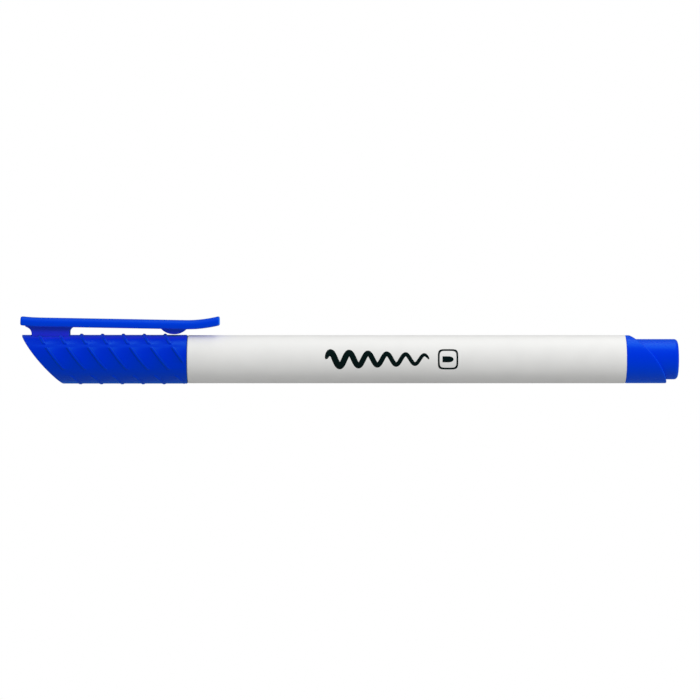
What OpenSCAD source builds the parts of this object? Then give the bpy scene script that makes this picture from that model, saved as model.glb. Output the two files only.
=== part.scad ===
// Slim whiteboard marker, lying along X with its clip upwards (+Z), in millimetres.
// The origin is on the barrel's axis, halfway along the barrel tube.
// The nib and the cap point to -X, the rear plug to +X.

/* [Barrel] */
// Outside diameter of the barrel tube
barrel_d = 10; // [8.3:0.1:14]
// Wall of the barrel tube
barrel_wall = 1; // [0.6:0.05:1.3]
// Length of the barrel tube
barrel_len = 91; // [60:1:130]
// Bevel of the seams at the barrel's two ends
seam_bevel = 0.26; // [0.1:0.02:0.4]
// Number of ribs inside the tube that keep the reservoir centred
rib_count = 4; // [3:1:6]

/* [Front section] */
// Radial step from the barrel down to the neck that the cap covers
neck_step = 0.8; // [0.6:0.05:1]
// Length of the neck
neck_len = 11; // [8:0.5:16]
// Length of the cone in front of the neck
cone_len = 3; // [2:0.25:5]
// Length of the seal land that the inner cap grips
land_len = 3; // [2:0.25:5]
// Wall of the section round the nib, at the seal land
land_wall = 0.72; // [0.5:0.02:0.9]
// Length of the nose in front of the seal land
nose_len = 2.5; // [1.5:0.25:4]
// Wall of the nose round the nib, at its front edge
nose_wall = 0.38; // [0.25:0.02:0.5]
// Length of the spigots pressed into the two ends of the barrel
spigot_len = 7; // [5:0.5:10]
// Wall of those spigots
spigot_wall = 0.9; // [0.6:0.05:1.1]

/* [Nib] */
// Diameter of the fibre nib
nib_d = 4; // [2.5:0.1:4.8]
// Length of nib outside the nose
nib_out = 4.8; // [3:0.1:8]
// Length of the nib's rounded tip
nib_tip_len = 2.6; // [1.5:0.1:3]
// How far the nib's tail reaches into the reservoir
tail_in = 5; // [3:0.5:8]

/* [Reservoir] */
// Thickness of the film round the fibre reservoir
film_t = 0.1; // [0.06:0.01:0.2]
// Radial room between the reservoir and the barrel's bore
reservoir_room = 0.36; // [0.2:0.02:0.6]

/* [Inner cap] */
// Wall of the inner cap
liner_wall = 0.7; // [0.5:0.05:0.8]
// Free length between the nib's tip and the inner cap's end wall
tip_room = 1; // [0.5:0.1:3]
// Length of the flange that locates the inner cap
flange_len = 0.8; // [0.5:0.1:1.5]

/* [Cap] */
// How far the cap stands proud of the barrel, on the radius
cap_proud = 0.08; // [0:0.02:0.4]
// Radius of the arc that shapes the slanted end, seen from the side
end_arc_r = 49.3; // [40:0.1:70]
// Height of that arc's centre above the axis
end_arc_rise = 31.4; // [22:0.1:32]
// Wall of the slanted end
end_wall = 1; // [0.7:0.05:1.5]
// Rounding of the cap's mouth
mouth_bevel = 0.2; // [0.05:0.05:0.25]

/* [Grip ribs] */
// Distance from one grip rib to the next
grip_pitch = 4.35; // [3:0.05:8]
// Distance from the slanted end to the first grip rib
grip_first = 3.8; // [2.5:0.1:8]
// Width of a grip rib
grip_w = 0.7; // [0.4:0.05:1.2]
// Height of a grip rib above the cap
grip_h = 0.26; // [0.1:0.02:0.4]
// Height above and below the axis of the breaks in each rib, as a share of the cap's radius
break_at = 0.55; // [0.4:0.01:0.7]
// Width of those breaks
break_w = 0.6; // [0.3:0.05:1]

/* [Clip] */
// Length of the clip
clip_len = 41.2; // [34:0.1:50]
// Width of the clip
clip_w = 6; // [4.5:0.1:8]
// Thickness of the clip
clip_t = 1.92; // [1.4:0.02:2.4]
// How fast the clip comes down towards the cap, per millimetre along it
clip_fall = 0.018; // [0:0.002:0.03]
// Length of the lifted lip at the clip's tip
lip_len = 6.8; // [4:0.1:9]
// Radius that the lip is bent to
lip_r = 27.5; // [20:0.5:60]
// Radius that the heel is bent to, over its last few millimetres
heel_r = 40; // [25:1:90]
// Length of that bend in the heel
heel_len = 4; // [2:0.1:6]
// Distance from the clip's heel to its post
post_from = 2.25; // [1:0.05:4]
// Length of the post
post_len = 7.8; // [5:0.1:12]
// Width of the post
post_w = 3.6; // [2.4:0.1:4.4]
// Height of the post between the cap and the clip
post_h = 1.66; // [1.3:0.02:3]
// Fillet between the post and the clip
post_fillet = 1.1; // [0.4:0.05:1.25]
// Distance from the clip's heel to the middle of the bump
bump_from = 31.75; // [26:0.05:33]
// Radius of the bump, seen from the side
bump_r = 3.6; // [2.6:0.05:6]
// Width of the bump
bump_w = 3.6; // [2:0.1:4.4]
// Gap between the bump and the cap
bump_gap = 0.12; // [0.05:0.01:0.5]

/* [Rear plug] */
// Radial step from the plug's collar down to its stub
stub_step = 0.8; // [0.4:0.05:1]
// Length of the collar on its short side, in line with the clip
collar_short = 1; // [0.6:0.05:4]
// Radius of the arc that cuts the collar, seen from the side
step_arc_r = 20.9; // [17:0.1:40]
// Angle of that cut on the short side, above the axis
step_tilt = 55; // [45:0.5:60]
// How far the stub reaches past the collar's long side
stub_out = 2.25; // [1.5:0.05:12]
// Rounding of the stub's end
stub_round = 0.7; // [0.2:0.05:1]
// Wall of the hollow plug
plug_wall = 1.1; // [0.7:0.05:1.3]

/* [Hidden] */
$fn = 96;

// Clearances, all on the radius or along the axis
press_gap = 0.02;      // a spigot in the barrel, a nib in its guide
slide_gap = 0.1;       // the cap on the neck
seal_gap = 0.04;       // the inner cap on the seal land
liner_gap = 0.05;      // the inner cap in the cap
mouth_gap = 0.08;      // between the cap's mouth and the barrel
stop_gap = 0.3;        // between the reservoir and what stops it
end_gap = 0.4;         // behind the inner cap's end wall
flex_gap = 0.05;       // round the clip's root
edge = 0.12;           // small bevel on hidden sharp edges
bead_h = 0.25;         // snap bead of a spigot in the barrel
snap_h = 0.06;         // snap bead of the neck in the cap
bead_w = 0.9;          // width of both beads
eps = 0.01;

// Radii
barrel_r = barrel_d / 2;
bore_r = barrel_r - barrel_wall;
spigot_r = bore_r - press_gap;
spigot_bore_r = spigot_r - spigot_wall;
neck_r = barrel_r - neck_step;
nib_r = nib_d / 2;
guide_r = nib_r + press_gap;
land_r = guide_r + land_wall;
nose_r = guide_r + nose_wall;
reservoir_r = bore_r - reservoir_room;
core_r = reservoir_r - film_t - press_gap;
liner_bore_r = land_r + seal_gap;
liner_r = liner_bore_r + liner_wall;
cap_bore_r = max(neck_r + slide_gap, liner_r + liner_gap);
flange_r = cap_bore_r - liner_gap;
pocket_r = liner_r + liner_gap;
cap_r = barrel_r + cap_proud;
stub_r = barrel_r - stub_step;

// Places along X
front_x = -barrel_len / 2;
rear_x = barrel_len / 2;
cone_x = front_x - neck_len;
land_x = cone_x - cone_len;
nose_x = land_x - land_len;
nose_end_x = nose_x - nose_len;
tip_x = nose_end_x - nib_out;
spigot_x = front_x + spigot_len;
reservoir_x = spigot_x + stop_gap;
plug_in_x = rear_x - spigot_len;
reservoir_end_x = plug_in_x - stop_gap;
bead_in = spigot_len / 2;                  // from a barrel end to the middle of its snap bead
snap_in = neck_len / 3;                    // from the barrel to the middle of the neck's snap bead
flange_x = land_x - seal_gap;              // open end of the inner cap
liner_in_x = tip_x - tip_room;
liner_end_x = liner_in_x - liner_wall;
seat_x = flange_x - flange_len - liner_gap; // shoulder in the cap behind the inner cap's flange
mouth_x = front_x - mouth_gap;

// The slanted end: a circle in the XZ plane, drawn out along Y
end_arc_x = liner_end_x - end_gap + sqrt(pow(end_arc_r - end_wall, 2) - pow(end_arc_rise + liner_r, 2));
function end_x(z) = end_arc_x - sqrt(pow(end_arc_r, 2) - pow(z - end_arc_rise, 2));

// The clip's centre line
heel_x = end_x(cap_r);
clip_tip_x = heel_x + clip_len;
post_x = heel_x + post_from;
post_end_x = post_x + post_len;
lip_x = clip_tip_x - lip_len;
bend_x = heel_x + heel_len;
root_x = post_end_x + post_fillet + flex_gap;
bump_x = heel_x + bump_from;
clip_z = cap_r + post_h + clip_t / 2;      // height of the centre line over the post
function clip_mid(x) = clip_z - clip_fall * (min(x, lip_x) - (post_x + post_end_x) / 2)
    + (x > lip_x ? pow(x - lip_x, 2) / (2 * lip_r) : 0)
    + (x < bend_x ? pow(bend_x - x, 2) / (2 * heel_r) : 0);
clip_step = 0.8;                           // spacing of the points along a bent stretch

// The step round the rear plug: a circle in the XZ plane, drawn out along Y
step_arc_x = rear_x + collar_short - step_arc_r * cos(step_tilt);
step_arc_z = barrel_r - step_arc_r * sin(step_tilt);
function step_x(z) = step_arc_x + sqrt(pow(step_arc_r, 2) - pow(z - step_arc_z, 2));
collar_long_x = step_x(max(-barrel_r, step_arc_z));
stub_end_x = collar_long_x + stub_out;
stub_bore_r = stub_r - plug_wall;

// Turns an outline of [radius, x] points about the X axis.
module lathe(outline) {
    rotate([0, 90, 0]) rotate_extrude() polygon(outline);
}

// A round bar along X.
module bar_x(r, x0, x1) {
    translate([x0, 0, 0]) rotate([0, 90, 0]) cylinder(r = r, h = x1 - x0);
}

// A round bar along Y, centred on the XZ plane.
module bar_y(r, x, z, w) {
    translate([x, 0, z]) rotate([90, 0, 0]) cylinder(r = r, h = w, center = true);
}

// A bar of width w with an outline of [x, z] points.
module plate(outline, w) {
    rotate([90, 0, 0]) linear_extrude(height = w, center = true) polygon(outline);
}

// A rounded bead on a lathe outline: rises by h at x, over a width of bead_w.
function bead(r, x, h) = [[r, x - bead_w / 2], [r + h, x - bead_w / 6], [r + h, x + bead_w / 6],
                          [r, x + bead_w / 2]];
function reversed(points) = [for (i = [len(points) - 1 : -1 : 0]) points[i]];

module barrel_ribs() {
    rib_w = 0.6;
    bite = 0.2;                            // how far a rib runs into the wall
    for (i = [0 : rib_count - 1])
        rotate([360 / rib_count * i, 0, 0])
            translate([reservoir_x, -rib_w / 2, reservoir_r + press_gap])
                cube([reservoir_end_x - reservoir_x, rib_w, reservoir_room - press_gap + bite]);
}

module barrel_tube() {
    color("whitesmoke") union() {
        lathe(concat(
            [[bore_r, front_x], [barrel_r - seam_bevel, front_x], [barrel_r, front_x + seam_bevel],
             [barrel_r, rear_x - seam_bevel], [barrel_r - seam_bevel, rear_x], [bore_r, rear_x]],
            reversed(bead(bore_r, rear_x - bead_in, bead_h)),
            reversed(bead(bore_r, front_x + bead_in, bead_h))));
        barrel_ribs();
    }
}

module front_section() {
    color("whitesmoke") lathe(concat(
        [[guide_r, nose_end_x], [nose_r - edge, nose_end_x], [nose_r, nose_end_x + edge],
         [land_r, nose_x], [land_r, land_x], [neck_r, cone_x]],
        bead(neck_r, front_x - snap_in, snap_h),
        [[neck_r, front_x], [spigot_r, front_x]],
        bead(spigot_r, front_x + bead_in, bead_h),
        [[spigot_r, spigot_x - edge], [spigot_r - edge, spigot_x], [spigot_bore_r, spigot_x],
         [spigot_bore_r, cone_x], [guide_r, cone_x - (spigot_bore_r - guide_r)]]));
}

module nib() {
    tail_x = spigot_x + stop_gap + tail_in;
    tail_bevel = nib_r / 2;
    color("mediumblue") lathe(concat(
        [for (a = [0 : 10 : 90]) [nib_r * sin(a), tip_x + nib_tip_len * (1 - cos(a))]],
        [[nib_r, tail_x - tail_bevel], [nib_r - tail_bevel, tail_x], [0, tail_x]]));
}

module reservoir_core() {
    hole_r = nib_r + press_gap;
    hole_x = reservoir_x + tail_in + press_gap;
    color("midnightblue") lathe([[0, hole_x], [hole_r, hole_x], [hole_r, reservoir_x],
                                 [core_r, reservoir_x], [core_r, reservoir_end_x],
                                 [0, reservoir_end_x]]);
}

module reservoir_film() {
    inner_r = core_r + press_gap;
    color("lightsteelblue") lathe([[inner_r, reservoir_x], [reservoir_r, reservoir_x],
                                   [reservoir_r, reservoir_end_x], [inner_r, reservoir_end_x]]);
}

module rear_plug() {
    gate_r = stub_r / 3;
    gate_depth = 0.2;
    color("blue") difference() {
        union() {
            // the collar, cut to the slanted arc
            intersection() {
                lathe([[0, rear_x], [barrel_r - seam_bevel, rear_x],
                       [barrel_r, rear_x + seam_bevel], [barrel_r, collar_long_x + eps],
                       [0, collar_long_x + eps]]);
                bar_y(step_arc_r, step_arc_x, step_arc_z, 2 * barrel_r + 2);
            }
            // the stub, the spigot and its snap bead
            lathe(concat(
                [[0, plug_in_x], [spigot_r - edge, plug_in_x], [spigot_r, plug_in_x + edge]],
                bead(spigot_r, rear_x - bead_in, bead_h),
                [[spigot_r, rear_x], [stub_r, rear_x], [stub_r, stub_end_x - stub_round]],
                [for (a = [15 : 15 : 90]) [stub_r - stub_round * (1 - cos(a)),
                                           stub_end_x - stub_round * (1 - sin(a))]],
                [[0, stub_end_x]]));
        }
        bar_x(stub_bore_r, plug_in_x - 1, stub_end_x - plug_wall - gate_depth);
        bar_x(gate_r, stub_end_x - gate_depth, stub_end_x + 1);
    }
}

module inner_cap() {
    lead = 0.4;                            // lead-in at the mouth
    color("ghostwhite") lathe([
        [0, liner_end_x], [liner_r - lead, liner_end_x], [liner_r, liner_end_x + lead],
        [liner_r, flange_x - flange_len], [flange_r, flange_x - flange_len], [flange_r, flange_x],
        [liner_bore_r + lead, flange_x], [liner_bore_r, flange_x - lead],
        [liner_bore_r, liner_in_x], [0, liner_in_x]]);
}

// The grip ribs: copies of the end's arc, on the cap's surface, with two breaks on each side.
module grip_ribs() {
    reach = 2 * cap_r + 2;
    seat = 0.2;                            // how far a rib runs into the cap's wall
    last = floor((mouth_x - grip_w - end_x(-cap_r) - grip_first) / grip_pitch);
    first_x = end_arc_x + grip_first;
    intersection() {
        difference() {
            bar_x(cap_r + grip_h, heel_x, mouth_x - 2 * mouth_bevel);
            bar_x(cap_r - seat, heel_x - 1, mouth_x + 1);
            for (side = [-1, 1])
                translate([heel_x - 1, -reach / 2, side * break_at * cap_r - break_w / 2])
                    cube([mouth_x - heel_x + 2, reach, break_w]);
        }
        for (i = [0 : last + 2])
            difference() {
                bar_y(end_arc_r + grip_w / 2, first_x + i * grip_pitch, end_arc_rise, reach);
                bar_y(end_arc_r - grip_w / 2, first_x + i * grip_pitch, end_arc_rise, reach + 2);
            }
    }
}

// The post that carries the clip, with a fillet on both sides.
module clip_post() {
    under_z = clip_z - clip_t / 2;
    top_z = clip_z;
    foot_z = cap_r - 0.5;
    union() {
        translate([post_x, -post_w / 2, foot_z]) cube([post_len, post_w, top_z - foot_z]);
        difference() {
            translate([post_x - post_fillet, -post_w / 2, under_z - post_fillet])
                cube([post_len + 2 * post_fillet, post_w, post_fillet + eps]);
            bar_y(post_fillet, post_x - post_fillet, under_z - post_fillet, post_w + 1);
            bar_y(post_fillet, post_end_x + post_fillet, under_z - post_fillet, post_w + 1);
        }
    }
}

// Points along one face of the clip, offset by h from its centre line.
function clip_face(x0, x1, h) = let (n = ceil((x1 - x0) / clip_step))
    [for (i = [0 : n]) let (x = x0 + (x1 - x0) * i / n) [x, clip_mid(x) + h]];

// The fixed rear of the clip on its post, with the round socket that the arm bends in.
module clip_root() {
    difference() {
        union() {
            clip_post();
            plate(concat(clip_face(heel_x, bend_x, clip_t / 2),
                         [[root_x, clip_mid(root_x) + clip_t / 2],
                          [root_x, clip_mid(root_x) - clip_t / 2]],
                         reversed(clip_face(heel_x, bend_x, -clip_t / 2))), clip_w);
        }
        bar_y(clip_t / 2 + flex_gap, root_x, clip_mid(root_x), clip_w + 1);
    }
}

module cap_shell() {
    far = 1;
    color("blue") difference() {
        union() {
            intersection() {
                lathe([[0, heel_x - far], [cap_r, heel_x - far], [cap_r, mouth_x - mouth_bevel],
                       [cap_r - mouth_bevel, mouth_x], [0, mouth_x]]);
                bar_y(end_arc_r, end_arc_x, end_arc_rise, 2 * cap_r + 2);
            }
            grip_ribs();
            clip_root();
        }
        // the bore that slides on the neck, and its snap groove
        lathe(concat([[0, seat_x], [cap_bore_r, seat_x]],
                     bead(cap_bore_r, front_x - snap_in, snap_h),
                     [[cap_bore_r, mouth_x + far], [0, mouth_x + far]]));
        // the pocket for the inner cap, as far as the slanted end's wall
        intersection() {
            bar_x(pocket_r, heel_x, seat_x + eps);
            bar_y(end_arc_r - end_wall, end_arc_x, end_arc_rise, 2 * cap_r);
        }
    }
}

module clip_arm() {
    tip_bevel = clip_t / 8;
    under_z = clip_mid(bump_x);
    bump_z = cap_r + bump_gap + bump_r;
    tip_z = clip_mid(clip_tip_x);
    color("blue") union() {
        plate(concat([[root_x, clip_mid(root_x) + clip_t / 2]],
                     clip_face(lip_x, clip_tip_x - tip_bevel, clip_t / 2),
                     [[clip_tip_x, tip_z + clip_t / 2 - tip_bevel],
                      [clip_tip_x, tip_z - clip_t / 2 + tip_bevel]],
                     reversed(clip_face(lip_x, clip_tip_x - tip_bevel, -clip_t / 2)),
                     [[root_x, clip_mid(root_x) - clip_t / 2]]), clip_w);
        bar_y(clip_t / 2, root_x, clip_mid(root_x), clip_w);
        intersection() {
            bar_y(bump_r, bump_x, bump_z, bump_w);
            translate([bump_x - bump_r, -bump_w, under_z - 2 * bump_r])
                cube([2 * bump_r, 2 * bump_w, 2 * bump_r]);
        }
    }
}

barrel_tube();
front_section();
nib();
reservoir_core();
reservoir_film();
rear_plug();
inner_cap();
cap_shell();
clip_arm();
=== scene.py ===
"""The looks of a slim whiteboard marker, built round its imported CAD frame."""
import math

import bmesh
import bpy
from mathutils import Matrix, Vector


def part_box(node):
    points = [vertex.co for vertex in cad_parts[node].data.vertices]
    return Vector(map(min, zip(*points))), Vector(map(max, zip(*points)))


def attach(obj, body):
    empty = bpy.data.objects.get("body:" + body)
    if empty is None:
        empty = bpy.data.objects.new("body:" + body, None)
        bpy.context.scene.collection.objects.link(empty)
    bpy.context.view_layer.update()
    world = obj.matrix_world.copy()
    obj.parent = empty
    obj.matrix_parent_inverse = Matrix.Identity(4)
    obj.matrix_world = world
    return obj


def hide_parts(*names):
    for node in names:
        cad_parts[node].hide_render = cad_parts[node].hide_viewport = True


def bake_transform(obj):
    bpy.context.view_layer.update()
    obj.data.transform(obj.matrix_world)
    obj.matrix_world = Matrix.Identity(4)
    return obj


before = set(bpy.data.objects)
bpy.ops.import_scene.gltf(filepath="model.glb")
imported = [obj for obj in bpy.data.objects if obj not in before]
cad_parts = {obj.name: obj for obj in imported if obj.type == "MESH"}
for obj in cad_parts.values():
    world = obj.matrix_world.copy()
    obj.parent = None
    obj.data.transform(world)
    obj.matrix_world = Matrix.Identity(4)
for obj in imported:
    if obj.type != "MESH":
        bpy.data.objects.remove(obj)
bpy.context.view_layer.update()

# Sizes in millimetres. The frame is in metres, and MM turns one into the other.
MM = 0.001
SEGMENTS = 256            # points round every turned piece
MERGE = 0.001             # points closer than this are one point


def span(node, side):
    """Low (0) or high (1) corner of a CAD node, in millimetres."""
    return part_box(node)[side] / MM


# Walls and clearances.
WALL = 1.0                # the barrel's wall
FIT = 0.02                # a spigot in the barrel, the nib in its hole, the ribs on the reservoir
NECK_STEP = 0.8           # how far the neck under the cap is set in from the barrel
STUB_STEP = 0.8           # the same for the stub at the rear
CAP_PROUD = 0.08          # how far the cap stands out from the barrel
CAP_CLEARANCE = 0.1       # round the neck, inside the cap
SEAM = 0.18               # rounding of the barrel's ends and of the plug's shoulder
BARREL_RIBS = 4
FLANGE_LEN = 0.8          # the inner cap's locating flange
FLANGE_GAP = 0.05         # behind the flange, inside the cap

# Snap beads and the grooves that they sit in.
BEAD_IN = 3.5             # from the barrel's ends to the spigots' beads
SNAP_IN = 11 / 3          # from the barrel's front to the cap's bead on the neck
BEAD_HALF = 0.45          # half of a bead's length
BEAD_H = 0.24
GROOVE_H = 0.25
SNAP_H = 0.05

barrel_r = span("barrel_tube", 1).z
front_x = span("barrel_tube", 0).x
rear_x = span("barrel_tube", 1).x
bore_r = barrel_r - WALL
spigot_r = bore_r - FIT
neck_r = barrel_r - NECK_STEP
stub_r = barrel_r - STUB_STEP
cap_r = barrel_r + CAP_PROUD
cap_bore_r = neck_r + CAP_CLEARANCE
snap_x = front_x - SNAP_IN
heel_x = span("cap_shell", 0).x
mouth_x = span("cap_shell", 1).x
tip_x = span("clip_arm", 1).x
clip_w = 2 * span("clip_arm", 1).y
plug_in_x = span("rear_plug", 0).x
stub_end_x = span("rear_plug", 1).x
nose_end_x = span("front_section", 0).x
spigot_x = span("front_section", 1).x
nib_tip_x = span("nib", 0).x
nib_tail_x = span("nib", 1).x
nib_r = span("nib", 1).z
nib_hole_r = nib_r + FIT
liner_end_x = span("inner_cap", 0).x
flange_x = span("inner_cap", 1).x
flange_r = span("inner_cap", 1).z

# The cap's slanted end: an arc in the XZ plane, drawn out along Y.
END_ARC_R = 49.3
END_ARC_RISE = 31.4
END_WALL = 1.0
end_arc_x = heel_x + math.sqrt(END_ARC_R ** 2 - (cap_r - END_ARC_RISE) ** 2)

# The grip ribs, which are copies of the end's arc.
GRIP_FIRST = 3.8
GRIP_PITCH = 4.35
GRIP_W = 0.7
GRIP_H = 0.26
BREAK_AT = 0.55           # height of the breaks, as a share of the cap's radius
BREAK_UPPER = 0.7         # length of the break above the middle of the cap
BREAK_LOWER = 1.5         # length of the break below it
BREAK_FADE = 0.35         # length over which a rib runs out beside a break
MOUTH_PLAIN = 0.45        # length without ribs at the cap's mouth
MOUTH_FADE = 0.5          # length over which a rib runs out before it
LOW_LOSS = 0.4            # share of its height that a rib loses on the cap's lower half

# The clip's centre line.
CLIP_T = 1.92
CLIP_FALL = 0.018
LIP_LEN = 6.8
LIP_R = 27.5
HEEL_LEN = 4.0
HEEL_R = 40.0
POST_FROM = 2.25
POST_LEN = 7.8
POST_W = 3.6
POST_H = 1.66
BUMP_FROM = 31.75
BUMP_R = 3.6
BUMP_W = 3.6
BUMP_GAP = 0.12

post_x = heel_x + POST_FROM
post_end_x = post_x + POST_LEN
bump_x = heel_x + BUMP_FROM
lip_x = tip_x - LIP_LEN
bend_x = heel_x + HEEL_LEN
clip_z = cap_r + POST_H + CLIP_T / 2

# The printed ink on the barrel.
INK_LIFT = 0.014
INK_T = 0.01

# The curved step round the rear plug.
COLLAR_SHORT = 1.0
STEP_ARC_R = 20.9
STEP_TILT = math.radians(55)
step_arc_x = rear_x + COLLAR_SHORT - STEP_ARC_R * math.cos(STEP_TILT)
step_arc_z = barrel_r - STEP_ARC_R * math.sin(STEP_TILT)

# Colours.
BARREL_WHITE = (0.86, 0.86, 0.845)
SECTION_WHITE = (0.84, 0.845, 0.84)
LINER_WHITE = (0.8, 0.82, 0.8)
CAP_BLUE = (0.0, 0.003, 0.66)
CLIP_BLUE = (0.0, 0.022, 0.76)
PLUG_BLUE = (0.0, 0.01, 0.8)
RIB_FOOT_SHADE = (0.0, 0.0, 0.2)        # painted shade where the grip ribs meet the cap
CLIP_SHADE_BLUE = (0.026, 0.0, 0.72)    # painted shade under the clip
EDGE_HIGHLIGHT_BLUE = (0.02, 0.3, 1.0)      # painted highlight along edges
EDGE_LIGHT = (0.0, 1.0, 1.0)      # tint of the gloss
HAZE = (0.0, 0.28, 1.0)           # soft light that grazes the surface
NIB_BLUE = (0.008, 0.03, 0.36)
RESERVOIR_BLUE = (0.01, 0.045, 0.4)
FILM_TINT = (0.7, 0.76, 0.85)
INK_BLACK = (0.0, 0.008, 0.008)
EDGE_HIGHLIGHT_R = 0.25             # how far the painted edge highlight reaches from an edge
SHADE_FROM = 1.5          # height at which the clip's shade begins
SHADE_FULL = 3.5          # height from which it is full

# The studio.
FLOOR_ROOM = 3.0          # below the clip with the cap turned over, enough for the clip to bend open
FLOOR_FILL = 0.49         # how brightly the floor lights the pieces
SKY_FILL = 0.42           # the same for the surround
MIRRORED = 0.2            # share of that light which the pieces mirror
FRONT_LIGHT = 5.2
TOP_LIGHT = 0.74
MIDDLE_X = -12.0          # where the lights are aimed


def end_x(z, wall=0.0):
    """Where the cap's slanted end lies at height z, or its inside at a wall's depth."""
    return end_arc_x - math.sqrt((END_ARC_R - wall) ** 2 - (z - END_ARC_RISE) ** 2)


def step_x(z):
    """Where the rear plug's step lies at height z."""
    return step_arc_x + math.sqrt(STEP_ARC_R ** 2 - (z - step_arc_z) ** 2)


def clip_mid(x):
    """Height of the clip's centre line at x."""
    z = clip_z - CLIP_FALL * (min(x, lip_x) - (post_x + post_end_x) / 2)
    if x > lip_x:
        z += (x - lip_x) ** 2 / (2 * LIP_R)
    if x < bend_x:
        z += (bend_x - x) ** 2 / (2 * HEEL_R)
    return z


def ease(t):
    """0 below 0, 1 above 1, and smooth between."""
    t = min(1.0, max(0.0, t))
    return t * t * (3 - 2 * t)


# ---------------------------------------------------------------- mesh tools


def activate(piece):
    """Selects this piece alone."""
    bpy.ops.object.select_all(action="DESELECT")
    piece.select_set(True)
    bpy.context.view_layer.objects.active = piece


def edit(piece):
    """Opens the piece in edit mode with nothing selected."""
    activate(piece)
    bpy.ops.object.mode_set(mode="EDIT")
    bpy.ops.mesh.select_mode(type="VERT")
    bpy.ops.mesh.select_all(action="DESELECT")


def pick(piece, test):
    """In edit mode, selects only the points for which test(x, y, z) holds, in millimetres."""
    bpy.ops.mesh.select_mode(type="VERT")
    bpy.ops.mesh.select_all(action="DESELECT")
    mesh = bmesh.from_edit_mesh(piece.data)
    for point in mesh.verts:
        point.select_set(bool(test(*(point.co / MM))))
    mesh.select_flush(True)
    bmesh.update_edit_mesh(piece.data)


def settle(piece, smooth=35):
    """Closes seams, turns the faces outwards, leaves edit mode and smooths the shallow edges."""
    bpy.ops.mesh.select_all(action="SELECT")
    bpy.ops.mesh.remove_doubles(threshold=MERGE * MM)
    bpy.ops.mesh.normals_make_consistent(inside=False)
    bpy.ops.object.mode_set(mode="OBJECT")
    activate(piece)
    bpy.ops.object.transform_apply(location=True, rotation=True, scale=True)
    bpy.ops.object.shade_smooth_by_angle(angle=math.radians(smooth))
    return piece


def place_primitive(name):
    """Names the primitive just added and puts its place into its mesh."""
    piece = bpy.context.object
    piece.name = name
    piece.data.name = name
    bpy.ops.object.transform_apply(location=True, rotation=True, scale=True)
    return piece


def lengthen(rings):
    """Extrudes the selected ring, the first of rings, to each of the next (x, radius) places."""
    for (x0, r0), (x1, r1) in zip(rings, rings[1:]):
        bpy.ops.mesh.extrude_edges_move(TRANSFORM_OT_translate={"value": ((x1 - x0) * MM, 0, 0)})
        if r1 == 0:
            bpy.ops.mesh.merge(type="CENTER")
        elif r1 != r0:
            share = r1 / r0
            bpy.ops.transform.resize(value=(1, share, share), center_override=(x1 * MM, 0, 0))


def turned(name, rings, segments=SEGMENTS):
    """A piece turned about the X axis, left open in edit mode. rings are (x, radius) places.
    A first or last radius of 0 closes that end, and a last ring equal to the first makes a tube."""
    bpy.ops.object.select_all(action="DESELECT")
    closed_start = rings[0][1] == 0
    start = rings[1] if closed_start else rings[0]
    bpy.ops.mesh.primitive_circle_add(
        vertices=segments, radius=start[1] * MM, location=(start[0] * MM, 0, 0),
        rotation=(0, math.pi / 2, 0), fill_type="NOTHING")
    piece = place_primitive(name)
    edit(piece)
    if closed_start:
        bpy.ops.mesh.select_all(action="SELECT")
        lengthen([start, rings[0]])
        pick(piece, lambda x, y, z: math.hypot(y, z) > start[1] / 2)
    else:
        bpy.ops.mesh.select_all(action="SELECT")
    lengthen(rings[1:] if closed_start else rings)
    return piece


def corner(x, r, radius, first, last, steps=4):
    """(x, radius) places round an arc about (x, r), from one angle to another in degrees."""
    angles = [math.radians(first + (last - first) * i / steps) for i in range(steps + 1)]
    return [(x + radius * math.cos(a), r + radius * math.sin(a)) for a in angles]


def bead(x, r, height, top):
    """(x, radius) places of a snap bead at x, or of its groove. top is half of its flat's length."""
    return [(x - BEAD_HALF, r), (x - top, r + height), (x + top, r + height), (x + BEAD_HALF, r)]


def along(x0, x1, r, count):
    """Evenly spaced rings of one radius, both ends included."""
    return [(x0 + (x1 - x0) * i / count, r) for i in range(count + 1)]


def slab(name, outline, width, soft):
    """A flat piece with an outline of (x, z) points, width across Y, and softened side edges."""
    bpy.ops.object.select_all(action="DESELECT")
    bpy.ops.mesh.primitive_circle_add(vertices=len(outline), radius=MM, fill_type="NGON",
                                      rotation=(math.pi / 2, 0, 0))
    piece = place_primitive(name)
    for point, (x, z) in zip(piece.data.vertices, outline):
        point.co = Vector((x, -width / 2, z)) * MM
    edit(piece)
    bpy.ops.mesh.select_all(action="SELECT")
    bpy.ops.mesh.extrude_region_move(TRANSFORM_OT_translate={"value": (0, width * MM, 0)})
    for side in (-1, 1):
        pick(piece, lambda x, y, z, side=side: y * side > width / 2 - 0.01)
        bpy.ops.mesh.select_mode(type="FACE")
        bpy.ops.mesh.region_to_loop()
        bpy.ops.mesh.bevel(offset=soft * MM, segments=3, affect="EDGES", clamp_overlap=True)
        bpy.ops.mesh.select_mode(type="VERT")
    return settle(piece)


def join(piece, other):
    """Joins another piece to this one as one solid. The other piece is used up."""
    activate(piece)
    union = piece.modifiers.new("Union", "BOOLEAN")
    union.operation = "UNION"
    union.solver = "EXACT"
    union.object = other
    bpy.ops.object.modifier_apply(modifier=union.name)
    bpy.data.objects.remove(other)
    edit(piece)
    return settle(piece)


# ---------------------------------------------------------------- pieces


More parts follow.
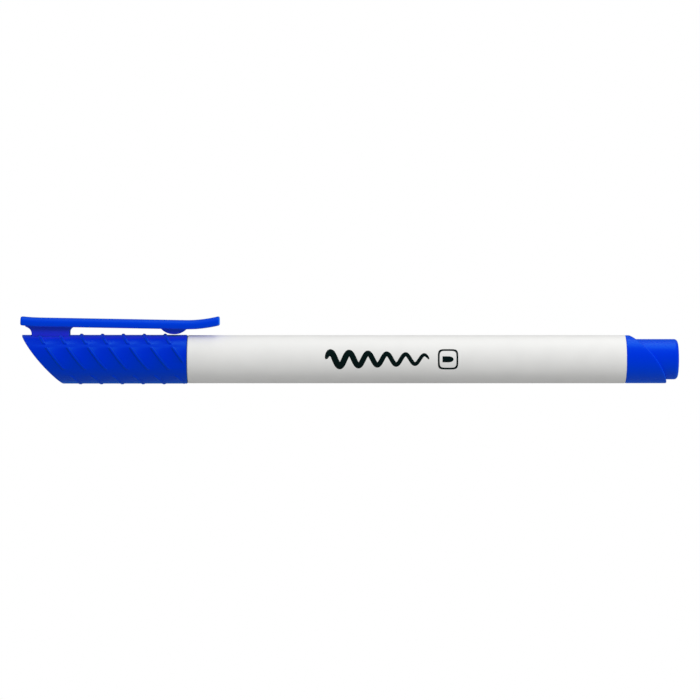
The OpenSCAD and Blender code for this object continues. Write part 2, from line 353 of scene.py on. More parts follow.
def make_barrel():
    """The barrel tube, with rounded ends and snap grooves inside."""
    lead_in, groove_top = 0.1, 0.2
    start = (front_x, barrel_r - SEAM)
    rings = [start]
    rings += corner(front_x + SEAM, barrel_r - SEAM, SEAM, 180, 90)[1:]
    rings += along(front_x + SEAM, rear_x - SEAM, barrel_r, 12)[1:]
    rings += corner(rear_x - SEAM, barrel_r - SEAM, SEAM, 90, 0)[1:]
    rings += [(rear_x, bore_r + lead_in), (rear_x - lead_in, bore_r)]
    for groove_x in (rear_x - BEAD_IN, front_x + BEAD_IN):
        rings += reversed(bead(groove_x, bore_r, GROOVE_H, groove_top))
    rings += [(front_x + lead_in, bore_r), (front_x, bore_r + lead_in), start]
    piece = settle(turned("barrel", rings))
    for i in range(BARREL_RIBS):
        join(piece, make_barrel_rib(2 * math.pi * i / BARREL_RIBS))
    return piece


def make_barrel_rib(turn):
    """One of the ribs inside the barrel that centre the reservoir, rooted in the wall."""
    rib_w, soft, bite = 0.6, 0.06, 0.2
    low, high = span("reservoir_film", 0), span("reservoir_film", 1)
    foot, root = high.z + FIT, bore_r + bite
    outline = [(low.x, foot), (high.x, foot), (high.x, root), (low.x, root)]
    rib = slab("barrel_rib", outline, rib_w, soft)
    bpy.ops.transform.rotate(value=turn, orient_axis="X", center_override=(0, 0, 0))
    bpy.ops.object.transform_apply(location=True, rotation=True, scale=True)
    return rib


def make_front_section():
    """The nib holder: nose, seal land, cone, neck with its snap bead, and spigot."""
    nose_wall, land_wall, spigot_wall = 0.38, 0.72, 0.9
    nose_len, land_len, cone_len = 2.5, 3.0, 3.0
    edge, land_soft, cone_soft, end_edge = 0.12, 0.1, 0.25, 0.15
    lead_in, land_rise, bead_top, snap_top, snap_crown = 0.05, 0.2, 0.15, 0.2, 0.06
    nose_r = nib_hole_r + nose_wall
    land_r = nib_hole_r + land_wall
    spigot_bore_r = spigot_r - spigot_wall
    nose_x = nose_end_x + nose_len
    land_x = nose_x + land_len
    cone_x = land_x + cone_len
    snap = bead(snap_x, neck_r, SNAP_H, snap_top)
    start = (nose_end_x, nib_hole_r + lead_in)
    rings = [start]
    rings += corner(nose_end_x + edge, nose_r - edge, edge, 180, 90)
    rings += corner(nose_x, land_r - land_soft, land_soft, 120, 90, 2)
    rings += [(land_x, land_r), (land_x + land_rise, land_r + lead_in)]
    rings += corner(cone_x, neck_r - cone_soft, cone_soft, 115, 90, 3)
    rings += snap[:2] + [(snap_x, neck_r + snap_crown)] + snap[2:]
    rings += [(front_x, neck_r), (front_x, spigot_r)]
    rings += bead(front_x + BEAD_IN, spigot_r, BEAD_H, bead_top)
    rings += [(spigot_x - end_edge, spigot_r), (spigot_x, spigot_r - end_edge),
              (spigot_x, spigot_bore_r), (cone_x, spigot_bore_r),
              (cone_x - (spigot_bore_r - nib_hole_r), nib_hole_r),
              (nose_end_x + lead_in, nib_hole_r), start]
    return settle(turned("front_section_holder", rings))


def make_nib():
    """The bullet nib: a fibre rod with a rounded tip."""
    tip_len = 2.6
    tail = nib_r / 2
    dome = [(nib_tip_x + tip_len * (1 - math.cos(math.radians(a))),
             nib_r * math.sin(math.radians(a))) for a in range(0, 91, 9)]
    dome[0] = (nib_tip_x, 0)
    rings = dome + along(nib_tip_x + tip_len, nib_tail_x - tail, nib_r, 16)[1:]
    rings += [(nib_tail_x, nib_r - tail), (nib_tail_x, 0)]
    return settle(turned("bullet_nib", rings, 96))


def make_plug():
    """The rear plug: hollow spigot, collar cut to a curved slant, and a rounded stub."""
    soft, fillet, round_end = 0.32, 0.12, 0.75
    stub_wall, bore_soft, lead_in, edge, bead_top = 1.1, 0.3, 0.1, 0.12, 0.15
    gate_r, gate_depth, gate_rim, gate_soft, gate_taper = 1.4, 0.2, 0.08, 0.06, 0.05
    hollow_r = stub_r - stub_wall
    hollow_end_x = stub_end_x - stub_wall - gate_depth
    step_flat_x = rear_x + COLLAR_SHORT
    rings = [(hollow_end_x, 0), (hollow_end_x, hollow_r - bore_soft),
             (hollow_end_x - bore_soft, hollow_r), (plug_in_x + lead_in, hollow_r),
             (plug_in_x, hollow_r + lead_in), (plug_in_x, spigot_r - edge), (plug_in_x + edge, spigot_r)]
    rings += bead(rear_x - BEAD_IN, spigot_r, BEAD_H, bead_top) + [(rear_x, spigot_r)]
    rings += corner(rear_x + SEAM, barrel_r - SEAM, SEAM, 180, 90)
    collar_from, collar_to = rear_x + SEAM, step_flat_x - soft
    rings += along(collar_from, collar_to, barrel_r, 10)[1:]
    rings += corner(collar_to, barrel_r - soft, soft, 90, 0, 5)[1:]
    rings += corner(step_flat_x + fillet, stub_r + fillet, fillet, 180, 270, 3)
    stub_from, stub_to = step_flat_x + fillet, stub_end_x - round_end
    rings += along(stub_from, stub_to, stub_r, 24)[1:]
    rings += corner(stub_to, stub_r - round_end, round_end, 90, 0, 8)[1:]
    rings += [(stub_end_x, gate_r + gate_rim), (stub_end_x - gate_soft, gate_r),
              (stub_end_x - gate_depth, gate_r - gate_taper), (stub_end_x - gate_depth, 0)]
    piece = turned("plug", rings)
    settle(piece)
    for point in piece.data.vertices:
        x, y, z = point.co / MM
        if x > collar_from and math.hypot(y, z) > stub_r - 0.001 and x < stub_to:
            share = (x - collar_from) / (collar_to - collar_from)
            if x > collar_to:
                share = 1.0
            if x > stub_from:
                share = 1 - (x - stub_from) / (stub_to - stub_from)
            point.co.x += share * (step_x(z) - step_flat_x) * MM
    return piece


def rib_height(x, y, z, rise):
    """How far a rib stands proud at a point on the cap, from its height on the ring."""
    angle = math.asin(max(-1.0, min(1.0, z / math.hypot(y, z))))
    off = abs(abs(angle) - math.asin(BREAK_AT)) * cap_r
    gap = BREAK_UPPER if z > 0 else BREAK_LOWER
    dash = ease((off - gap / 2 + 0.1) / BREAK_FADE)
    before_mouth = ease((mouth_x - MOUTH_PLAIN - x) / MOUTH_FADE)
    low = 1.0 if z > 0 else 1 - LOW_LOSS * ease(-z / cap_r * 2)
    return rise * dash * low * before_mouth


def make_cap():
    """The cap: rings that follow its slanted end, ribs on them, and a turned inside.
    Rings that would pass the mouth end on it, where their points merge."""
    rim, pocket_r, mouth_edge, lead_in, groove_top = 0.3, 3.53, 0.2, 0.2, 0.2
    flank = [(0.6, 0.0), (0.5, 0.1154), (0.42, 0.4615), (0.3, 0.8654), (0.15, 0.9808)]
    profile = [(-off, share) for off, share in flank] + [(0.0, 1.0)] + flank[::-1]
    rises = {}
    rings = [(0, 0), (0, 1.5), (0, 3.0), (0, 4.2)]
    rings += corner(rim, cap_r - rim, rim, 180, 90, 6)
    count = int((mouth_x - heel_x - GRIP_FIRST) / GRIP_PITCH) + 1
    for k in range(count):
        for off, share in profile:
            place = GRIP_FIRST + k * GRIP_PITCH + off * GRIP_W
            rings.append((place, cap_r))
            rises[round(place, 4)] = share * GRIP_H
    rings.append((mouth_x - heel_x + 1, cap_r))
    piece = turned("cap", rings, 320)
    bpy.ops.object.mode_set(mode="OBJECT")
    cut_x = mouth_x - mouth_edge
    for point in piece.data.vertices:
        s, y, z = point.co / MM
        rise = rises.get(round(s, 4), 0)
        x = s + end_x(z)
        if x > cut_x - 2 * MERGE:
            x = cut_x
        share = 1 + rib_height(x, y, z, rise) / cap_r if rise else 1
        point.co = Vector((x, y * share, z * share)) * MM
    edit(piece)
    bpy.ops.mesh.select_all(action="SELECT")
    bpy.ops.mesh.remove_doubles(threshold=MERGE * MM)
    pick(piece, lambda x, y, z: x > cut_x - MERGE)
    seat_x = flange_x - FLANGE_LEN - FLANGE_GAP
    deep_x = end_x(-pocket_r, END_WALL) + 1.5
    end_plane_x = deep_x - 0.1
    rings = corner(cut_x, cap_r - mouth_edge, mouth_edge, 90, 0, 4)
    rings += [(mouth_x, cap_bore_r + lead_in), (mouth_x - lead_in, cap_bore_r)]
    rings += reversed(bead(snap_x, cap_bore_r, SNAP_H, groove_top))
    rings += [(seat_x, cap_bore_r), (seat_x, pocket_r), (deep_x, pocket_r)]
    rings += [(end_plane_x, pocket_r), (end_plane_x, 2.4), (end_plane_x, 1.2), (end_plane_x, 0)]
    lengthen(rings)
    settle(piece)
    for point in piece.data.vertices:
        x, y, z = point.co / MM
        if abs(x - end_plane_x) < 0.01 and math.hypot(y, z) < pocket_r + 0.01:
            point.co.x = end_x(z, END_WALL) * MM
    return piece


def make_inner_cap():
    """The inner cap: a soft cup that seals on the front section, with a locating flange."""
    seal_r, wall = 2.78, 0.7
    end_soft, edge, lead_in, floor_soft = 0.4, 0.1, 0.4, 0.3
    outer_r = seal_r + wall
    floor_x = liner_end_x + wall
    rings = [(liner_end_x, 0)] + corner(liner_end_x + end_soft, outer_r - end_soft, end_soft, 180, 90)
    rings += [(flange_x - FLANGE_LEN, outer_r)]
    rings += corner(flange_x - FLANGE_LEN + edge, flange_r - edge, edge, 180, 90, 2)
    rings += corner(flange_x - edge, flange_r - edge, edge, 90, 0, 2)
    rings += [(flange_x, seal_r + lead_in), (flange_x - lead_in, seal_r)]
    rings += corner(floor_x + floor_soft, seal_r - floor_soft, floor_soft, 90, 180, 3)
    rings += [(floor_x, 0)]
    return settle(turned("inner_cap_liner", rings, 160))


def make_reservoir():
    """The reservoir: a fibre core with a socket for the nib, in a thin film."""
    lead_in, soft, film_t = 0.1, 0.2, 0.1
    low, high = span("reservoir_core", 0), span("reservoir_core", 1)
    rings = [(nib_tail_x + FIT, 0), (nib_tail_x + FIT, nib_hole_r), (low.x + lead_in, nib_hole_r),
             (low.x, nib_hole_r + lead_in)]
    rings += corner(low.x + soft, high.z - soft, soft, 180, 90, 3)
    rings += along(low.x + soft, high.x - soft, high.z, 8)[1:]
    rings += corner(high.x - soft, high.z - soft, soft, 90, 0, 3)[1:] + [(high.x, 0)]
    core = settle(turned("reservoir_fibre", rings, 96))
    low, high = span("reservoir_film", 0), span("reservoir_film", 1)
    inner_r = high.z - film_t
    start = (low.x, inner_r)
    rings = [start, (low.x, high.z)] + along(low.x, high.x, high.z, 6)[1:]
    rings += [(high.x, inner_r), start]
    return core, settle(turned("reservoir_wrap", rings, 96))


def make_clip():
    """The clip with its post and bump, as one moulding."""
    bpy.ops.object.select_all(action="DESELECT")
    middle = ((heel_x + tip_x) / 2 * MM, 0, 0)
    bpy.ops.mesh.primitive_cube_add(size=1, location=middle,
                                    scale=((tip_x - heel_x) * MM, clip_w * MM, CLIP_T * MM))
    piece = place_primitive("clip")
    half_w, half_t = clip_w / 2, CLIP_T / 2
    top_soft, under_soft, end_soft = 1.15, 0.2, 0.32
    edit(piece)
    for side, soft, steps in ((1, top_soft, 8), (-1, under_soft, 3)):
        for flank in (-1, 1):
            pick(piece, lambda x, y, z: z * side > half_t - 0.01 and y * flank > half_w - 0.01)
            bpy.ops.mesh.bevel(offset=soft * MM, segments=steps, affect="EDGES")
    for at_x in (heel_x, tip_x):
        pick(piece, lambda x, y, z: abs(x - at_x) < 0.01)
        bpy.ops.mesh.select_mode(type="FACE")
        bpy.ops.mesh.region_to_loop()
        bpy.ops.mesh.bevel(offset=end_soft * MM, segments=4, affect="EDGES")
    stations = 72
    for i in range(1, stations):
        x = heel_x + (tip_x - heel_x) * i / stations
        bpy.ops.mesh.select_all(action="SELECT")
        bpy.ops.mesh.bisect(plane_co=(x * MM, 0, 0), plane_no=(1, 0, 0))
    for share in (-0.6, -0.3, 0, 0.3, 0.6):
        bpy.ops.mesh.select_all(action="SELECT")
        bpy.ops.mesh.bisect(plane_co=(0, share * half_w * MM, 0), plane_no=(0, 1, 0))
    settle(piece)
    crown = 0.16
    for point in piece.data.vertices:
        x, y, z = point.co / MM
        z += clip_mid(x) - crown * (y / half_w) ** 2 * (z + half_t) / CLIP_T
        point.co.z = z * MM
    join(piece, make_post())
    join(piece, make_bump())
    return piece


def make_post():
    """The post under the clip, with a hollow fillet before and behind it."""
    under = clip_z - CLIP_T / 2
    rear_fillet, front_fillet = 1.5, 1.0
    into_clip, into_cap, soft = 0.6, 0.7, 0.12
    top = under + into_clip
    foot = cap_r - into_cap
    outline = [(post_x, foot)]
    outline += [(post_x - rear_fillet + rear_fillet * math.cos(a),
                 under - rear_fillet + rear_fillet * math.sin(a))
                for a in (math.radians(10 * i) for i in range(0, 9))]
    outline += [(post_x - rear_fillet, top), (post_end_x + front_fillet, top)]
    outline += [(post_end_x + front_fillet - front_fillet * math.sin(a),
                 under - front_fillet + front_fillet * math.cos(a))
                for a in (math.radians(10 * i) for i in range(1, 10))]
    outline += [(post_end_x, foot)]
    return slab("post", outline, POST_W, soft)


def make_bump():
    """The round bump under the clip."""
    into_clip, soft = 0.3, 0.3
    centre_z = cap_r + BUMP_GAP + BUMP_R
    top = clip_mid(bump_x)
    reach = math.acos((centre_z - top + into_clip) / BUMP_R)
    outline = [(bump_x + BUMP_R * math.sin(a), centre_z - BUMP_R * math.cos(a))
               for a in (reach * (i / 12 - 1) for i in range(25))]
    return slab("bump", outline, BUMP_W, soft)


def printed(name, columns, rows, place):
    """A thin patch of ink on the barrel. place(u, v) gives its (x, z) for u and v from 0 to 1."""
    bpy.ops.object.select_all(action="DESELECT")
    bpy.ops.mesh.primitive_grid_add(x_subdivisions=columns, y_subdivisions=rows, size=MM,
                                    rotation=(math.pi / 2, 0, 0))
    piece = place_primitive(name)
    lift = barrel_r + INK_LIFT
    for point in piece.data.vertices:
        x, z = place(point.co.x / MM + 0.5, point.co.z / MM + 0.5)
        point.co = Vector((x, -math.sqrt(lift ** 2 - z ** 2), z)) * MM
    edit(piece)
    settle(piece)
    wall = piece.modifiers.new("Ink", "SOLIDIFY")
    wall.thickness = INK_T * MM
    bpy.ops.object.modifier_apply(modifier=wall.name)
    return piece


def make_print():
    """The printed mark: a wavy marker stroke, and a small framed picture of a bullet tip."""
    stroke_from, stroke_to, turns = -16.8, 4.6, 5.5
    badge_x, badge_r, line_w = 8.5, 2.1, 0.36

    def stroke(u, v):
        height = 1.5 - 0.6 * u
        width = 1.4 - 0.7 * u
        taper = math.sqrt(max(0.0, 1 - (2 * u - 1) ** 20))
        phase = 2 * math.pi * turns * u
        slope = height * math.cos(phase) * 2 * math.pi * turns / (stroke_to - stroke_from)
        z = height * math.sin(phase)
        off = (v - 0.5) * width * taper
        share = 1 / math.hypot(1, slope)
        return stroke_from + u * (stroke_to - stroke_from) - off * slope * share, z + off * share

    def frame_line(u, v):
        angle = 2 * math.pi * u
        c, d = math.cos(angle), math.sin(angle)
        r = (badge_r - line_w * v) / (abs(c) ** 5 + abs(d) ** 5) ** 0.2
        return badge_x + r * c, r * d

    def tip(u, v):
        half = 0.62 if u < 0.5 else 0.62 * math.sqrt(max(0.0, 1 - ((u - 0.5) / 0.5) ** 2.4))
        return badge_x - 1.15 + 2.3 * u, (v - 0.5) * 2 * half

    return [printed("mark_stroke", 400, 4, stroke), printed("mark_frame", 96, 2, frame_line),
            printed("mark_tip", 32, 6, tip)]


# ---------------------------------------------------------------- materials


def node_tree(name):
    """A new material, its tree and its Principled shader."""
    material = bpy.data.materials.new(name)
    material.use_nodes = True
    return material, material.node_tree, material.node_tree.nodes["Principled BSDF"]


def socket(group, name, way, value=0.0):
    """A named number that a node group takes in or puts out."""
    made = group.interface.new_socket(name=name, in_out=way, socket_type="NodeSocketFloat")
    made.default_value = value


def math_node(nodes, links, operation, a, b=None, c=None):
    """A Math node fed by sockets or plain numbers."""
    node = nodes.new("ShaderNodeMath")
    node.operation = operation
    for i, value in enumerate((a, b, c)):
        if value is None:
            continue
        if isinstance(value, (int, float)):
            node.inputs[i].default_value = value
        else:
            links.new(value, node.inputs[i])
    return node.outputs[0]


def noise(nodes, links, coords, scale, detail=2.0, roughness=0.5):
    """The value of a noise texture."""
    node = nodes.new("ShaderNodeTexNoise")
    node.inputs["Scale"].default_value = scale
    node.inputs["Detail"].default_value = detail
    node.inputs["Roughness"].default_value = roughness
    links.new(coords, node.inputs["Vector"])
    return node.outputs["Fac"]


def moulded_group():
    """Moulded plastic: a fine spark-eroded grain, slow ripples and light handling scuffs."""
    group = bpy.data.node_groups.new("moulded_plastic", "ShaderNodeTree")
    socket(group, "Grain", "INPUT", value=1.0)
    socket(group, "Ripple", "INPUT", value=1.0)
    socket(group, "Scuffs", "INPUT", value=1.0)
    socket(group, "Roughness", "INPUT", value=0.4)
    for name in ("Height", "Roughness", "Tone"):
        socket(group, name, "OUTPUT")
    nodes, links = group.nodes, group.links
    inlet, outlet = nodes.new("NodeGroupInput"), nodes.new("NodeGroupOutput")
    coords = nodes.new("ShaderNodeTexCoord").outputs["Object"]
    grain_scale, ripple_scale, hair_scale = 9000, 260, 420
    grain = noise(nodes, links, coords, grain_scale, 3)
    ripple = noise(nodes, links, coords, ripple_scale, 1)
    stretch = nodes.new("ShaderNodeMapping")
    stretch.inputs["Scale"].default_value = (1.0, 14.0, 14.0)
    stretch.inputs["Rotation"].default_value = (0, 0.12, 0.05)
    links.new(coords, stretch.inputs["Vector"])
    hair = noise(nodes, links, stretch.outputs[0], hair_scale, 4, 0.65)
    peaks = math_node(nodes, links, "SUBTRACT", hair, 0.62)
    scuff = math_node(nodes, links, "SMOOTH_MAX", peaks, 0.0, 0.02)
    scuff = math_node(nodes, links, "MULTIPLY", scuff, inlet.outputs["Scuffs"])
    height = math_node(nodes, links, "MULTIPLY", grain, inlet.outputs["Grain"])
    slow = math_node(nodes, links, "MULTIPLY", ripple, inlet.outputs["Ripple"])
    height = math_node(nodes, links, "ADD", height, math_node(nodes, links, "MULTIPLY", slow, 6.0))
    height = math_node(nodes, links, "SUBTRACT", height, scuff)
    links.new(height, outlet.inputs["Height"])
    rough = math_node(nodes, links, "MULTIPLY_ADD", grain, 0.08, inlet.outputs["Roughness"])
    rough = math_node(nodes, links, "MULTIPLY_ADD", scuff, 1.2, rough)
    links.new(rough, outlet.inputs["Roughness"])
    tone = math_node(nodes, links, "MULTIPLY_ADD", ripple, 0.06, 0.97)
    links.new(tone, outlet.inputs["Tone"])
    return group


def crevice_group():
    """How enclosed a point is, from 0 in the open to 1: only below the clip, or Everywhere. Its mask
    lays painted shade.
    """
    group = bpy.data.node_groups.new("crevice", "ShaderNodeTree")
    socket(group, "Reach", "INPUT", value=0.003)
    socket(group, "From", "INPUT", value=0.4)
    socket(group, "To", "INPUT", value=0.8)
    socket(group, "Everywhere", "INPUT", value=0.0)
    socket(group, "Mask", "OUTPUT")
    nodes, links = group.nodes, group.links
    inlet, outlet = nodes.new("NodeGroupInput"), nodes.new("NodeGroupOutput")
    shade = nodes.new("ShaderNodeAmbientOcclusion")
    shade.samples = 12
    links.new(inlet.outputs["Reach"], shade.inputs["Distance"])
    blocked = math_node(nodes, links, "SUBTRACT", 1.0, shade.outputs["AO"])
    fit = nodes.new("ShaderNodeMapRange")
    fit.interpolation_type = "SMOOTHSTEP"
    links.new(blocked, fit.inputs["Value"])
    links.new(inlet.outputs["From"], fit.inputs["From Min"])
    links.new(inlet.outputs["To"], fit.inputs["From Max"])
    split = nodes.new("ShaderNodeSeparateXYZ")
    links.new(nodes.new("ShaderNodeTexCoord").outputs["Object"], split.inputs[0])
    side = nodes.new("ShaderNodeMapRange")
    side.interpolation_type = "SMOOTHSTEP"
    side.inputs["From Min"].default_value = SHADE_FROM * MM
    side.inputs["From Max"].default_value = SHADE_FULL * MM
    links.new(split.outputs["Z"], side.inputs["Value"])
    where = math_node(nodes, links, "MAXIMUM", side.outputs[0], inlet.outputs["Everywhere"])
    links.new(math_node(nodes, links, "MULTIPLY", fit.outputs[0], where), outlet.inputs["Mask"])
    return group


def edge_highlight_group():
    """Painted highlight along edges: 0 on the flat, 1 along a sharp edge."""
    group = bpy.data.node_groups.new("painted_edge_highlight", "ShaderNodeTree")
    socket(group, "Radius", "INPUT", value=0.0002)
    socket(group, "Strength", "INPUT", value=0.5)
    socket(group, "Mask", "OUTPUT")
    nodes, links = group.nodes, group.links
    inlet, outlet = nodes.new("NodeGroupInput"), nodes.new("NodeGroupOutput")
    rounded = nodes.new("ShaderNodeBevel")
    rounded.samples = 8
    links.new(inlet.outputs["Radius"], rounded.inputs["Radius"])
    turn = nodes.new("ShaderNodeVectorMath")
    turn.operation = "DOT_PRODUCT"
    links.new(rounded.outputs["Normal"], turn.inputs[0])
    links.new(nodes.new("ShaderNodeNewGeometry").outputs["Normal"], turn.inputs[1])
    coords = nodes.new("ShaderNodeTexCoord").outputs["Object"]
    patchy = math_node(nodes, links, "MULTIPLY_ADD", noise(nodes, links, coords, 700, 2), 0.8, 0.5)
    fit = nodes.new("ShaderNodeMapRange")
    fit.inputs["From Min"].default_value = 0.01
    fit.inputs["From Max"].default_value = 0.12
    links.new(math_node(nodes, links, "SUBTRACT", 1.0, turn.outputs["Value"]), fit.inputs["Value"])
    lit_edge = math_node(nodes, links, "MULTIPLY", fit.outputs[0], patchy)
    lit_edge = math_node(nodes, links, "MULTIPLY", lit_edge, inlet.outputs["Strength"])
    links.new(lit_edge, outlet.inputs["Mask"])
    return group


def add_group(nodes, group, **values):
    """Places a node group with its own input values."""
    node = nodes.new("ShaderNodeGroup")
    node.node_tree = group
    for name, value in values.items():
        node.inputs[name].default_value = value
    return node


def tint(nodes, links, colour, value):
    """A colour multiplied by a value."""
    node = nodes.new("ShaderNodeMix")
    node.data_type = "RGBA"
    node.blend_type = "MULTIPLY"
    node.inputs["Factor"].default_value = 1.0
    node.inputs["A"].default_value = (*colour, 1)
    links.new(value, node.inputs["B"])
    return node.outputs["Result"]


def lay_over(nodes, links, base, colour, mask):
    """The base where the mask is 0, and the colour where it is 1."""
    node = nodes.new("ShaderNodeMix")
    node.data_type = "RGBA"
    node.inputs["B"].default_value = (*colour, 1)
    links.new(base, node.inputs["A"])
    links.new(mask, node.inputs["Factor"])
    return node.outputs["Result"]


def bump(nodes, links, height, shader, strength, distance):
    """Feeds a height to the shader's normal."""
    node = nodes.new("ShaderNodeBump")
    node.inputs["Strength"].default_value = strength
    node.inputs["Distance"].default_value = distance
    links.new(height, node.inputs["Height"])
    links.new(node.outputs["Normal"], shader.inputs["Normal"])


def plastic(name, colour, moulded, roughness, grain, scuffs, relief, layers=()):
    """Moulded plastic. A layer is a colour, the group whose mask lays it on, and that group's values."""
    material, tree, shader = node_tree(name)
    nodes, links = tree.nodes, tree.links
    skin = add_group(nodes, moulded, Grain=grain, Scuffs=scuffs, Roughness=roughness)
    base = tint(nodes, links, colour, skin.outputs["Tone"])
    for layer_colour, group, values in layers:
        mask = add_group(nodes, group, **values).outputs["Mask"]
        base = lay_over(nodes, links, base, layer_colour, mask)
    links.new(base, shader.inputs["Base Color"])
    links.new(skin.outputs["Roughness"], shader.inputs["Roughness"])
    bump(nodes, links, skin.outputs["Height"], shader, relief, 0.04 * MM)
    return material


def blue_plastic(name, colour, moulded, specular, layers):
    """The satin blue of the cap, clip and plug, with a coloured gloss and a soft haze."""
    material = plastic(name, colour, moulded, 0.38, 1.0, 0.5, 0.12, layers)
    shader = material.node_tree.nodes["Principled BSDF"]
    shader.inputs["Specular IOR Level"].default_value = specular
    shader.inputs["Specular Tint"].default_value = (*EDGE_LIGHT, 1)
    shader.inputs["Sheen Weight"].default_value = 1.0
    shader.inputs["Sheen Roughness"].default_value = 0.5
    shader.inputs["Sheen Tint"].default_value = (*HAZE, 1)
    return material


def fibre(name, colour, roughness, scale):
    """Bonded fibres that run along X."""
    material, tree, shader = node_tree(name)
    nodes, links = tree.nodes, tree.links
    coords = nodes.new("ShaderNodeTexCoord").outputs["Object"]
    stretch = nodes.new("ShaderNodeMapping")
    stretch.inputs["Scale"].default_value = (0.06, 1.0, 1.0)
    links.new(coords, stretch.inputs["Vector"])
    strands = noise(nodes, links, stretch.outputs[0], scale, 3, 0.6)
    tone = math_node(nodes, links, "MULTIPLY_ADD", strands, 0.9, 0.55)
    links.new(tint(nodes, links, colour, tone), shader.inputs["Base Color"])
    rough = math_node(nodes, links, "MULTIPLY_ADD", strands, 0.2, roughness - 0.1)
    links.new(rough, shader.inputs["Roughness"])
    bump(nodes, links, strands, shader, 0.6, 0.1 * MM)
    return material


def film(name, colour, moulded):
    """Thin film with fine crinkles."""
    material, tree, shader = node_tree(name)
    nodes, links = tree.nodes, tree.links
    skin = add_group(nodes, moulded, Grain=0.2, Ripple=3.0, Scuffs=0.5, Roughness=0.2)
    links.new(tint(nodes, links, colour, skin.outputs["Tone"]), shader.inputs["Base Color"])
    links.new(skin.outputs["Roughness"], shader.inputs["Roughness"])
    bump(nodes, links, skin.outputs["Height"], shader, 0.3, 0.1 * MM)
    return material


def ink(name, colour, moulded):
    """Screen-printed ink: a slightly uneven satin layer."""
    material, tree, shader = node_tree(name)
    nodes, links = tree.nodes, tree.links
    skin = add_group(nodes, moulded, Grain=0.5, Scuffs=0.3, Roughness=0.45)
    links.new(tint(nodes, links, colour, skin.outputs["Tone"]), shader.inputs["Base Color"])
    links.new(skin.outputs["Roughness"], shader.inputs["Roughness"])
    shader.inputs["Specular IOR Level"].default_value = 0.15
    bump(nodes, links, skin.outputs["Height"], shader, 0.1, 0.02 * MM)
    return material


def coat(piece, material):
    """Gives a piece one material."""
    piece.data.materials.clear()
    piece.data.materials.append(material)


# ---------------------------------------------------------------- stage


def glow(tree, source, output, fill):
    """A white backdrop. The camera sees it bright, and the pieces are lit by fill and mirror less."""
    nodes, links = tree.nodes, tree.links
    nodes.clear()
    out = nodes.new(output)
    light = nodes.new("ShaderNodeLightPath")
    shaders = []
    for strength in (fill, fill * MIRRORED, 1.0):
        shader = nodes.new(source)
        shader.inputs["Color"].default_value = (1, 1, 1, 1)
        shader.inputs["Strength"].default_value = strength
        shaders.append(shader.outputs[0])
    for ray, target in (("Is Glossy Ray", 1), ("Is Camera Ray", 2)):
        mix = nodes.new("ShaderNodeMixShader")
        links.new(light.outputs[ray], mix.inputs[0])
        links.new(shaders[0], mix.inputs[1])
        links.new(shaders[target], mix.inputs[2])
        shaders[0] = mix.outputs[0]
    links.new(shaders[0], out.inputs["Surface"])


def make_floor():
    """A pale floor, below everything that turns or bends. It fills the underside softly."""
    lowest = -span("clip_arm", 1).z - FLOOR_ROOM
    bpy.ops.object.select_all(action="DESELECT")
    bpy.ops.mesh.primitive_plane_add(size=40, location=(0, 0, lowest * MM))
    floor = bpy.context.object
    floor.name = "floor"
    material = bpy.data.materials.new("floor_white")
    material.use_nodes = True
    glow(material.node_tree, "ShaderNodeEmission", "ShaderNodeOutputMaterial", FLOOR_FILL)
    floor.data.materials.append(material)


def make_light():
    """A soft surround, one large soft light from the front right and a weaker one overhead.
    Their places and sizes are in metres."""
    scene = bpy.context.scene
    world = bpy.data.worlds.new("studio")
    scene.world = world
    world.use_nodes = True
    glow(world.node_tree, "ShaderNodeBackground", "ShaderNodeOutputWorld", SKY_FILL)
    softbox("front_light", (0.34, -0.68, 0.6), (0.45, 0.45), FRONT_LIGHT).visible_glossy = False
    softbox("top_light", (0.1, -0.02, 0.6), (0.5, 0.3), TOP_LIGHT)


def softbox(name, place, size, power):
    """A rectangular soft light aimed at the marker's middle."""
    lamp = bpy.data.lights.new(name, "AREA")
    lamp.shape = "RECTANGLE"
    lamp.size, lamp.size_y = size
    lamp.energy = power
    light = bpy.data.objects.new(name, lamp)
    light.location = place
    aim = Vector((MIDDLE_X * MM, 0, 0)) - light.location
    light.rotation_euler = aim.to_track_quat("-Z", "Y").to_euler()
    bpy.context.scene.collection.objects.link(light)
    return light


def make_camera():
    """The camera, level with the marker and square to it."""
    distance, frame_w = 650.0, 145.8
    aim_x, aim_z = -11.77, 1.92
    data = bpy.data.cameras.new("camera")
    data.sensor_width = 36
    data.lens = data.sensor_width * distance / frame_w
    data.clip_start, data.clip_end = 0.05, 100
    camera = bpy.data.objects.new("camera", data)
    camera.location = (aim_x * MM, -distance * MM, aim_z * MM)
    camera.rotation_euler = (math.pi / 2, 0, 0)
    bpy.context.scene.collection.objects.link(camera)
    bpy.context.scene.camera = camera


bpy.context.scene.view_settings.view_transform = "Standard"
make_camera()
make_light()
make_floor()

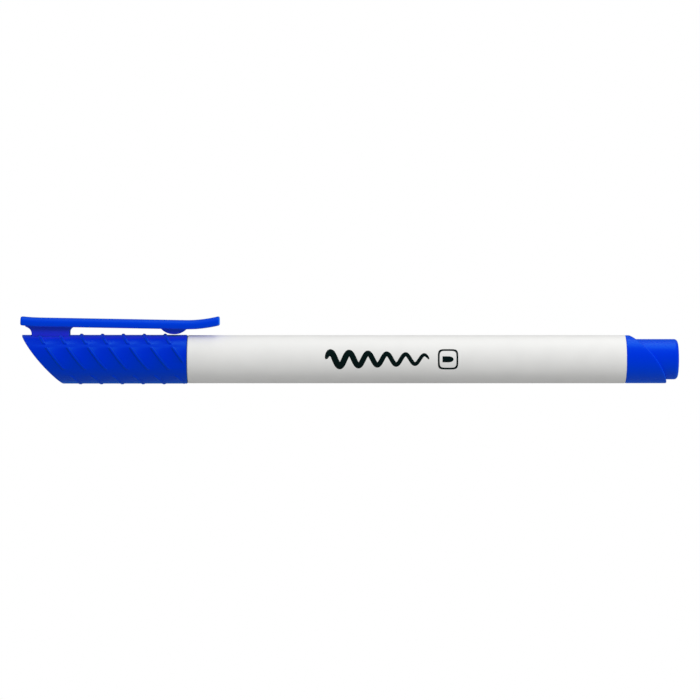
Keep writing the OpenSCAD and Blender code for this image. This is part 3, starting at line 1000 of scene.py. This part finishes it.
moulded, crevice, edges = moulded_group(), crevice_group(), edge_highlight_group()
white = plastic("barrel_polypropylene", BARREL_WHITE, moulded, 0.42, 1.0, 0.4, 0.05)
section_white = plastic("section_polypropylene", SECTION_WHITE, moulded, 0.38, 1.0, 0.6, 0.08)
natural = plastic("liner_polyethylene", LINER_WHITE, moulded, 0.5, 1.4, 0.4, 0.12)
blue = blue_plastic("cap_polypropylene", CAP_BLUE, moulded, 0.7, [
    # painted shade under the clip, on the cap
    (CLIP_SHADE_BLUE, crevice, {"Reach": 6 * MM, "From": 0.22, "To": 0.4}),
    # painted shade at the feet of the grip ribs
    (RIB_FOOT_SHADE, crevice, {"Reach": 0.6 * MM, "From": 0.08, "To": 0.26, "Everywhere": 1.0}),
    # painted highlight along the cap's edges
    (EDGE_HIGHLIGHT_BLUE, edges, {"Radius": EDGE_HIGHLIGHT_R * MM, "Strength": 0.15})])
clip_blue = blue_plastic("clip_polypropylene", CLIP_BLUE, moulded, 0.7, [
    # painted shade below the clip plate, on the post and bump
    (CLIP_SHADE_BLUE, crevice, {"Reach": 6 * MM, "From": 0.12, "To": 0.25}),
    # painted highlight along the clip's edges
    (EDGE_HIGHLIGHT_BLUE, edges, {"Radius": EDGE_HIGHLIGHT_R * MM, "Strength": 0.3})])
plug_blue = blue_plastic("plug_polypropylene", PLUG_BLUE, moulded, 0.8, [
    # painted highlight along the plug's edges
    (EDGE_HIGHLIGHT_BLUE, edges, {"Radius": EDGE_HIGHLIGHT_R * MM, "Strength": 1.4})])
nib_felt = fibre("nib_fibre", NIB_BLUE, 0.8, 2600)
reservoir_felt = fibre("reservoir_fibre", RESERVOIR_BLUE, 0.85, 1600)
wrap = film("reservoir_film", FILM_TINT, moulded)

core, wrapping = make_reservoir()
parts = [
    (make_barrel(), "barrel", "barrel_tube", "barrel_white", white),
    (make_front_section(), "barrel", "front_section", "section_white", section_white),
    (make_nib(), "barrel", "nib", "nib_fibre", nib_felt),
    (core, "barrel", "reservoir_core", "reservoir_fibre", reservoir_felt),
    (wrapping, "barrel", "reservoir_film", "reservoir_film", wrap),
    (make_plug(), "barrel", "rear_plug", "plug_blue", plug_blue),
    (make_inner_cap(), "inner_cap", "inner_cap", "liner_natural", natural),
    (make_cap(), "cap", "cap_shell", "cap_blue", blue),
]
for piece, body, node, slot, material in parts:
    coat(piece, material)
    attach(piece, body)
    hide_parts(node)

clip = make_clip()
coat(clip, clip_blue)
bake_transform(clip)
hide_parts("clip_arm")

printed_ink = ink("mark_ink", INK_BLACK, moulded)
for mark in make_print():
    coat(mark, printed_ink)
    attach(mark, "barrel")
